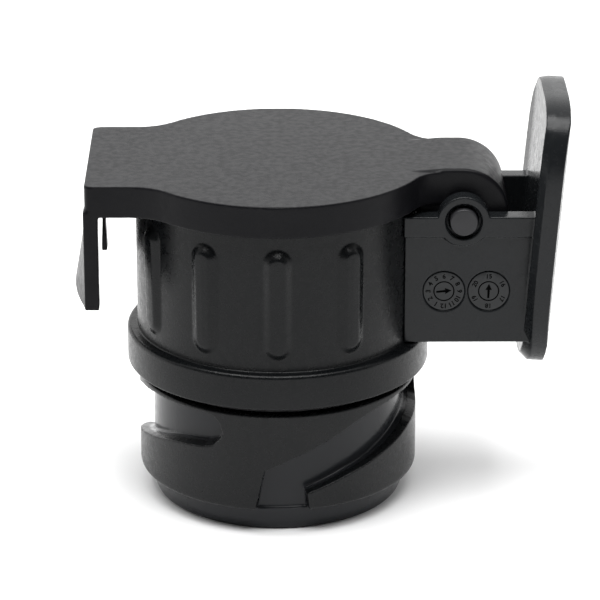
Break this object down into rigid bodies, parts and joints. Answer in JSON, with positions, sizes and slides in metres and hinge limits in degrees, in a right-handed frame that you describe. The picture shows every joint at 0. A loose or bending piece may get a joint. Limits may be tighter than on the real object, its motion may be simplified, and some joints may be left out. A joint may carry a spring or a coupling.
{
  "type": "trailer wiring connector",
  "caption": "Short trailer wiring adapter: bayonet plug barrel below, pin socket above under a sprung hinged lid with a catch hook, ribbed grip shell, hinge bracket and stop plate.",
  "frame": {"origin": "on the plug's axis, in the plane of its nose rim, which is the face it stands on", "axes": "+Z along the plug's axis, from the nose up to the lid; +X from the axis towards the hinge and its stop plate; -Y is the side with the moulded date dials"},
  "size_m": [0.0837, 0.052, 0.0721],
  "materials": {
    "black_grained": "fine moulded grain, matte",
    "black_satin": "fine moulded grain, satin",
    "pin_plastic": "satin",
    "insert_plastic": "smooth, satin",
    "rubber": "matte rubber",
    "brass": "turned, bright",
    "steel": "drawn spring wire",
    "lead_jacket": "smooth insulation"
  },
  "bodies": {
    "housing": {"grip_shell": "black_grained", "bayonet_barrel": "black_grained", "flange_seal": "rubber", "hinge_bracket": "black_satin", "hinge_pin": "pin_plastic", "torsion_spring": "steel", "socket_insert": "insert_plastic", "socket_contact_1": "brass", "socket_contact_2": "brass", "socket_contact_3": "brass", "socket_contact_4": "brass", "socket_contact_5": "brass", "socket_contact_6": "brass", "socket_contact_7": "brass", "snap_ring": "steel", "link_lead_1": "lead_jacket", "link_lead_2": "lead_jacket", "link_lead_3": "lead_jacket", "link_lead_4": "lead_jacket", "link_lead_5": "lead_jacket", "link_lead_6": "lead_jacket", "link_lead_7": "lead_jacket"},
    "lid": {"lid": "black_grained", "lid_gasket": "rubber"},
    "plug_core": {"plug_insert": "insert_plastic", "plug_pin_1": "brass", "plug_pin_2": "brass", "plug_pin_3": "brass", "plug_pin_4": "brass", "plug_pin_5": "brass", "plug_pin_6": "brass", "plug_pin_7": "brass"}
  },
  "joints": [
    {"name": "lid_hinge", "type": "hinge", "parent": "housing", "child": "lid", "pos_m": [0.0312, 0, 0.0522], "axis": [0, 1, 0], "range_deg": [0, 100], "stiffness_Nm_per_rad": 0.02, "springref_deg": -57.3, "deforming": ["torsion_spring"]},
    {"name": "core_turn", "type": "hinge", "parent": "housing", "child": "plug_core", "pos_m": [0, 0, 0.0165], "axis": [0, 0, 1], "range_deg": [0, 90], "deforming": ["link_lead_1", "link_lead_2", "link_lead_3", "link_lead_4", "link_lead_5", "link_lead_6", "link_lead_7"]}
  ]
}
